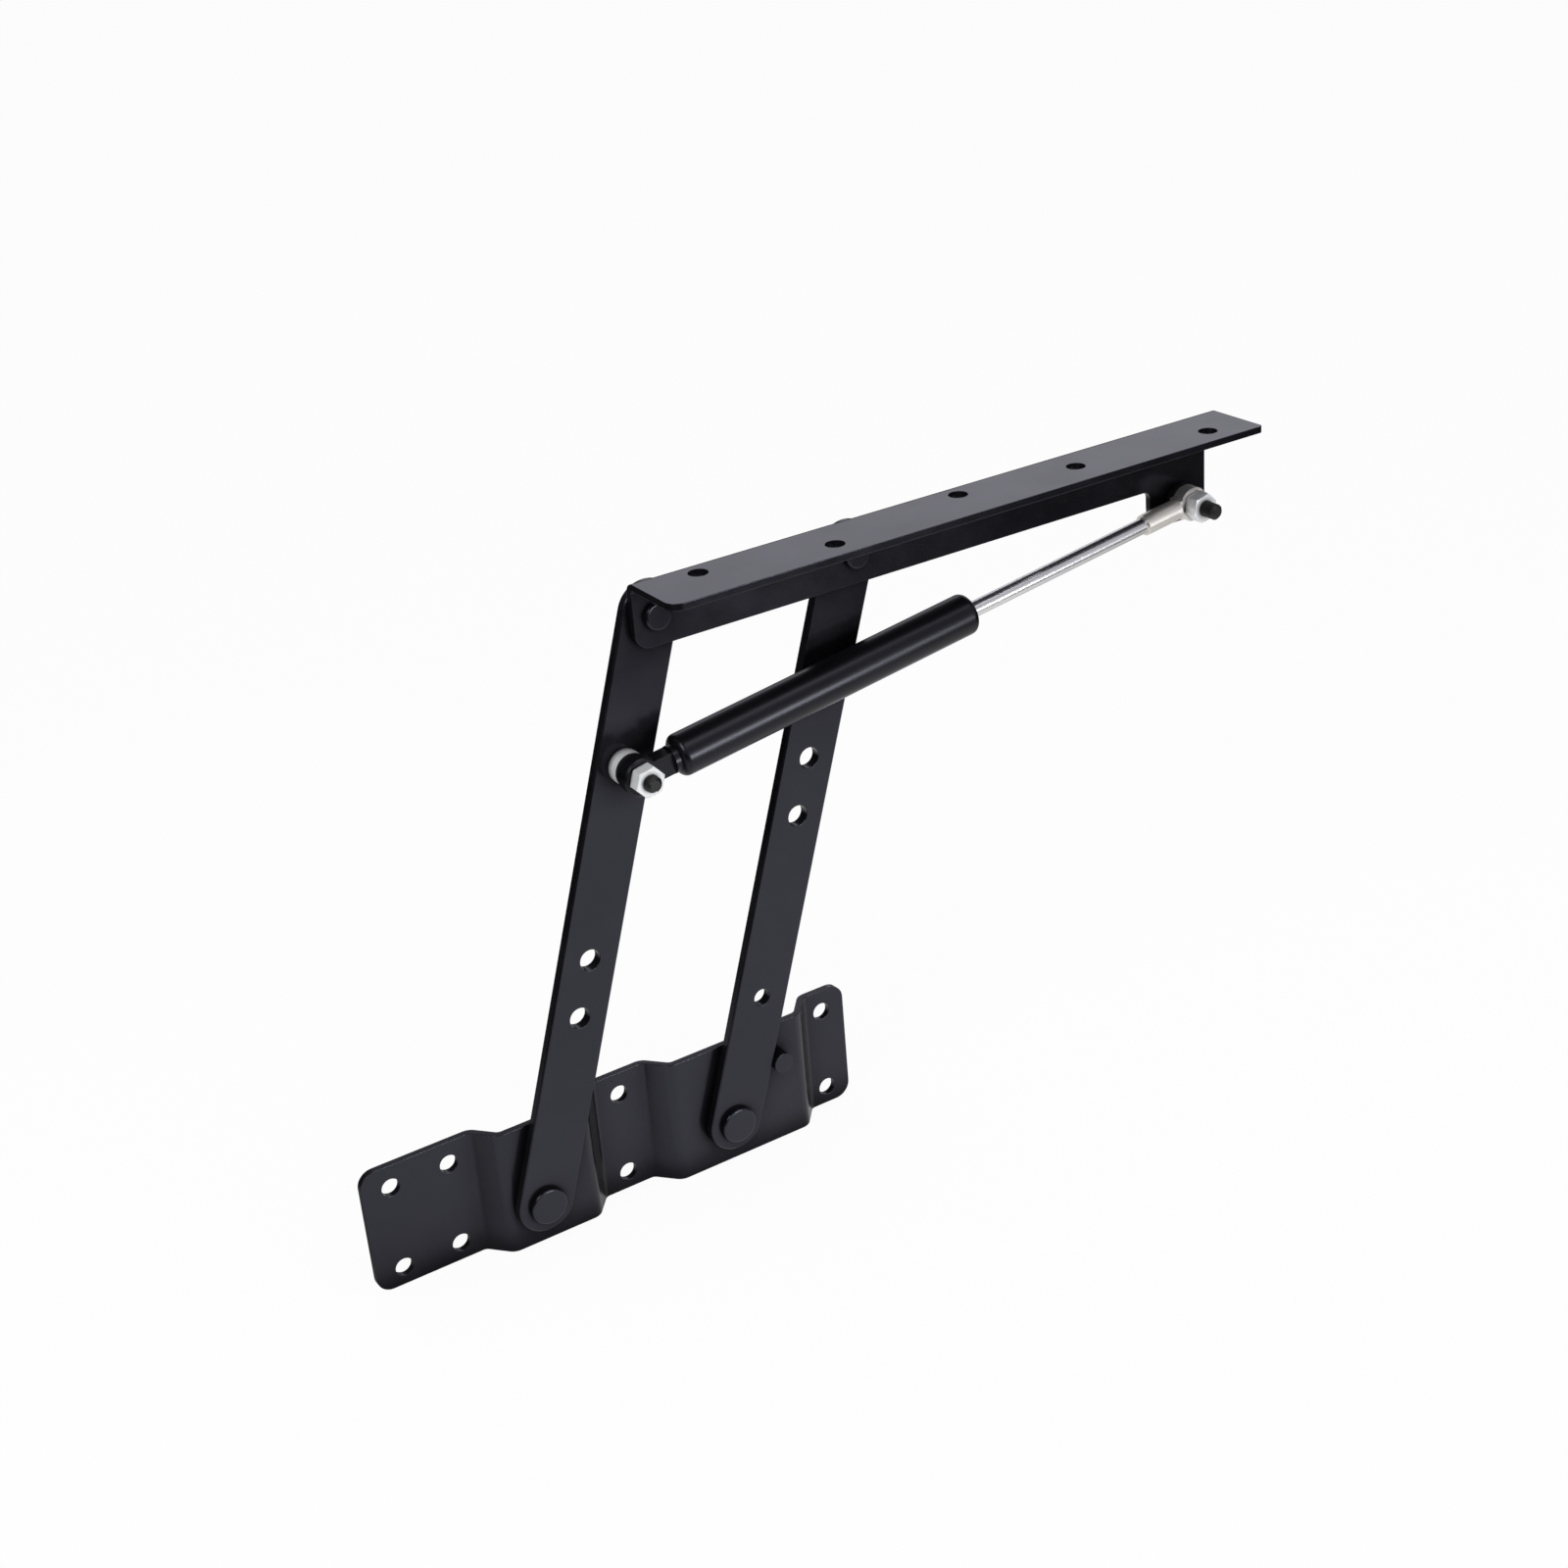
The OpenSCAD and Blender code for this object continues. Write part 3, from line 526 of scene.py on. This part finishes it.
def metal_finish(name, dull, bright, rough, metallic, pitch, axis, depth=None, painted_shade=None):
    """Plated metal with a cloudy bloom in tone and sheen, fine lines square to an axis where a depth
    is given, and a painted shade that darkens inside corners where a shade colour is given."""
    material, tree, shader = new_finish(name, bright, rough[0], metallic=metallic)
    turned = place_group(tree, lines, Pitch=pitch, Along_X=axis[0], Along_Y=axis[1], Along_Z=axis[2])
    tone = tint(tree, turned.outputs["Bloom"], bright, dull)
    # Painted shade: the colour darkens towards the shade colour where a spot is shut in.
    if painted_shade:
        tone = tint(tree, openness(tree, CORNER_SHADE_REACH, *CORNER_SHADE_RANGE), painted_shade, tone)
    tree.links.new(tone, shader.inputs["Base Color"])
    sheen = spread(tree, turned.outputs["Bloom"], 0.0, 1.0, *rough)
    tree.links.new(sheen, shader.inputs["Roughness"])
    if depth:
        emboss(tree, shader, turned.outputs["Height"], depth)
    return material


joints = {joint["name"]: joint for joint in frame["joints"]}
strut_way = tuple(joints["rod_slide"]["axis"])
ACROSS = (0.0, 1.0, 0.0)
zinc = metal_finish(
    "bright_zinc", (0.69, 0.70, 0.72), (0.80, 0.81, 0.83), (0.28, 0.38), metallic=0.35,
    pitch=2600.0, axis=ACROSS, depth=0.002 * MM, painted_shade=(0.03, 0.03, 0.03))
nickel = metal_finish(
    "warm_plating", (0.84, 0.81, 0.76), (0.94, 0.91, 0.86), (0.34, 0.42), metallic=0.85,
    pitch=2200.0, axis=strut_way)
chrome = metal_finish(
    "hard_chrome", (0.88, 0.88, 0.89), (0.94, 0.94, 0.95), (0.27, 0.27), metallic=1.0,
    pitch=5200.0, axis=strut_way)
brass = metal_finish(
    "turned_brass", (0.60, 0.46, 0.22), (0.74, 0.60, 0.32), (0.24, 0.34), metallic=1.0,
    pitch=2600.0, axis=strut_way, depth=0.003 * MM)
print("metals:", zinc.name, nickel.name, chrome.name, brass.name)

# %% [markdown]
# ## Moulded washers and rubber
# Thin grey plastic washers keep the painted arms apart, and rubber seals the strut. They are
# hardly seen, but they show when the part is taken apart.

# %% Polymer and rubber
polymer = coat_finish(
    "moulded_polymer", (0.10, 0.10, 0.11), (0.14, 0.14, 0.15), (0.45, 0.58), peel=1500.0,
    depth=0.004 * MM)
rubber = coat_finish(
    "seal_rubber", (0.018, 0.018, 0.018), (0.028, 0.027, 0.027), (0.60, 0.75), peel=2400.0,
    depth=0.01 * MM, specular=0.4)
print("soft finishes:", polymer.name, rubber.name)

# %% [markdown]
# ## Dressing the nodes
# The record names a material slot for each node of the frame. A node keeps its mesh and its place,
# and only takes the finish of its slot.

# %% Dress the nodes
finish_of_slot = {
    "satin_black": satin_black, "gloss_black": gloss_black, "blackened_steel": blackened,
    "zinc": zinc, "warm_nickel": nickel, "chrome": chrome, "brass": brass,
    "grey_polymer": polymer, "rubber": rubber,
}
slot_of_node = {entry["node"]: entry["material_slot"] for entry in frame["record"]["subparts"]}
for name, slot in slot_of_node.items():
    mesh = nodes[name].data
    mesh.materials.clear()
    mesh.materials.append(finish_of_slot[slot])
print("dressed", len(nodes), "nodes in", len(finish_of_slot), "finishes")

# %% [markdown]
# ## The threaded studs
# The strut turns on two studs, turned from bar. The tail stud has a head behind the arm, a root, a
# broad collar, a plain pin for the eye, and a coarse M6 thread for the nut. The rod stud begins at
# its collar, because its root stays in the rail's ear. The frame's studs are plain, so two new
# pieces stand for them. A half outline is spun once round the axis for the turned part, and one
# tooth of the thread is spun round the same axis while it climbs by the pitch.

# %% Helpers for turned pieces
STUD_D, THREAD_PITCH, THREAD_DEPTH = 6.0 * MM, 1.0 * MM, 0.55 * MM
TOOTH_FOOT, TOOTH_CREST, TOOTH_SUNK = 0.86 * MM, 0.14 * MM, 0.05 * MM
TIP_CHAMFER = 0.8 * MM
WELD = 0.001 * MM
ROUND_STEPS, TURN_STEPS = 72, 32


def spin_outline(mesh, centre, outline):
    """Spins a half outline of (radius, y) points once round a level axis from front to back."""
    points = [mesh.verts.new((centre.x + r, y, centre.z)) for r, y in outline]
    ribs = [mesh.edges.new(pair) for pair in zip(points, points[1:])]
    bmesh.ops.spin(mesh, geom=points + ribs, cent=centre, axis=(0, 1, 0), angle=2 * math.pi,
                   steps=ROUND_STEPS, use_merge=True)
    bmesh.ops.remove_doubles(mesh, verts=mesh.verts, dist=WELD)
    bmesh.ops.recalc_face_normals(mesh, faces=mesh.faces)


def cut_thread(mesh, centre, start, end):
    """Winds one tooth round the axis from y start to y end, and turns its crest down at the tip."""
    foot, crest = STUD_D / 2 - THREAD_DEPTH - TOOTH_SUNK, STUD_D / 2
    tooth = [(foot, TOOTH_FOOT / 2), (crest, TOOTH_CREST / 2),
             (crest, -TOOTH_CREST / 2), (foot, -TOOTH_FOOT / 2)]
    old = set(mesh.verts)
    corners = [mesh.verts.new((centre.x + r, start + dy, centre.z)) for r, dy in tooth]
    face = mesh.faces.new(corners)
    turns = abs(end - start) / THREAD_PITCH
    steps = round(turns * TURN_STEPS)
    bmesh.ops.spin(mesh, geom=[face] + list(face.edges) + corners, cent=centre, axis=(0, 1, 0),
                   angle=2 * math.pi * turns, steps=steps, dvec=(0, (end - start) / steps, 0))
    ridge = [v for v in mesh.verts if v not in old]
    open_rims = [e for e in mesh.edges if e.is_boundary]
    if open_rims:
        bmesh.ops.holes_fill(mesh, edges=open_rims)
    tip = end - TOOTH_FOOT / 2
    for v in ridge:
        out = Vector((v.co.x - centre.x, 0, v.co.z - centre.z))
        most = STUD_D / 2 - max(0.0, tip + TIP_CHAMFER - v.co.y)
        if out.length > most:
            out *= most / out.length
            v.co = Vector((centre.x, v.co.y, centre.z)) + out
    bmesh.ops.recalc_face_normals(mesh, faces=mesh.faces)
    return len(ridge)


print("thread:", STUD_D / MM, "mm by", THREAD_PITCH / MM, "mm pitch")

# %% Fit a piece to the frame
SHARP_ANGLE = math.radians(32)


def fit_piece(name, mesh, body, node):
    """Makes an object of a mesh, smooth between its sharp edges, that stands for a node of the frame."""
    data = bpy.data.meshes.new(name)
    mesh.to_mesh(data)
    mesh.free()
    data.polygons.foreach_set("use_smooth", [True] * len(data.polygons))
    data.set_sharp_from_angle(angle=SHARP_ANGLE)
    data.materials.append(finish_of_slot[slot_of_node[node]])
    piece = bpy.data.objects.new(name, data)
    scene.collection.objects.link(piece)
    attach(piece, body)
    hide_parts(node)
    return piece


print("edges sharper than", round(math.degrees(SHARP_ANGLE)), "degrees stay sharp")

# %% The outline of a stud
ROOT_R, COLLAR_R, HEAD_R = 4.0 * MM, 6.25 * MM, 6.0 * MM
HEAD_T, HEAD_ROUND, HEAD_ARC, RIM = 2.2 * MM, 0.8 * MM, 0.24 * MM, 0.35 * MM
EYE_T, PLAY = 6.0 * MM, 0.1 * MM
NECK_LAP, NECK_SLOPE, CORE_CHAMFER, END_INSET = 0.4 * MM, 0.3 * MM, 0.6 * MM, 0.1 * MM


def stud_tip(nut, end):
    """The plain pin and the thread's core, from behind the nut to the chamfered end, as (radius, y)."""
    core = STUD_D / 2 - THREAD_DEPTH
    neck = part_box(nut)[1][1] - NECK_LAP
    return neck, [(STUD_D / 2, neck), (core, neck - NECK_SLOPE), (core, end + CORE_CHAMFER),
                  (core - CORE_CHAMFER, end), (0, end)]


def collar(back, front):
    """The outline of a collar with softened rims, from its back to its front, as (radius, y)."""
    return [(COLLAR_R - RIM, back), (COLLAR_R, back - RIM),
            (COLLAR_R, front + RIM), (COLLAR_R - RIM, front)]


def stud_piece(name, node, body, nut, rear, front):
    """A stud from its outline behind the collar, its collar's front face, its pin and its thread."""
    low, high = (Vector(corner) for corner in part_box(node))
    centre = (low + high) / 2
    neck, tip = stud_tip(nut, low.y)
    mesh = bmesh.new()
    spin_outline(mesh, centre, rear + [(STUD_D / 2, front)] + tip)
    ridge = cut_thread(mesh, centre, neck - TOOTH_FOOT, low.y + TOOTH_FOOT / 2 + END_INSET)
    print(name, "thread points:", ridge, "open edges:", sum(not e.is_manifold for e in mesh.edges))
    return fit_piece(name, mesh, body, node)


print("collar:", 2 * COLLAR_R / MM, "mm across")

# %% Turn the two studs
tail_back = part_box("tail_stud")[1][1]
seat = tail_back - HEAD_T
washer_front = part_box("tail_washer")[0][1]
eye_low, eye_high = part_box("tail_eye")
tail_front = (eye_low[1] + eye_high[1]) / 2 + EYE_T / 2 + PLAY
tail_rear = [(0, tail_back), (HEAD_R - HEAD_ROUND, tail_back), (HEAD_R - HEAD_ARC, tail_back - HEAD_ARC),
             (HEAD_R, tail_back - HEAD_ROUND), (HEAD_R, seat), (ROOT_R, seat), (ROOT_R, washer_front)]
stud_piece("threaded_tail_stud", "tail_stud", "left_link", "tail_nut",
           tail_rear + collar(washer_front, tail_front), tail_front)

rod_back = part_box("rod_stud")[1][1]
rod_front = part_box("rod_nut")[1][1] + EYE_T
stud_piece("threaded_rod_stud", "rod_stud", "strut_piston", "rod_nut",
           [(0, rod_back)] + collar(rod_back, rod_front), rod_front)
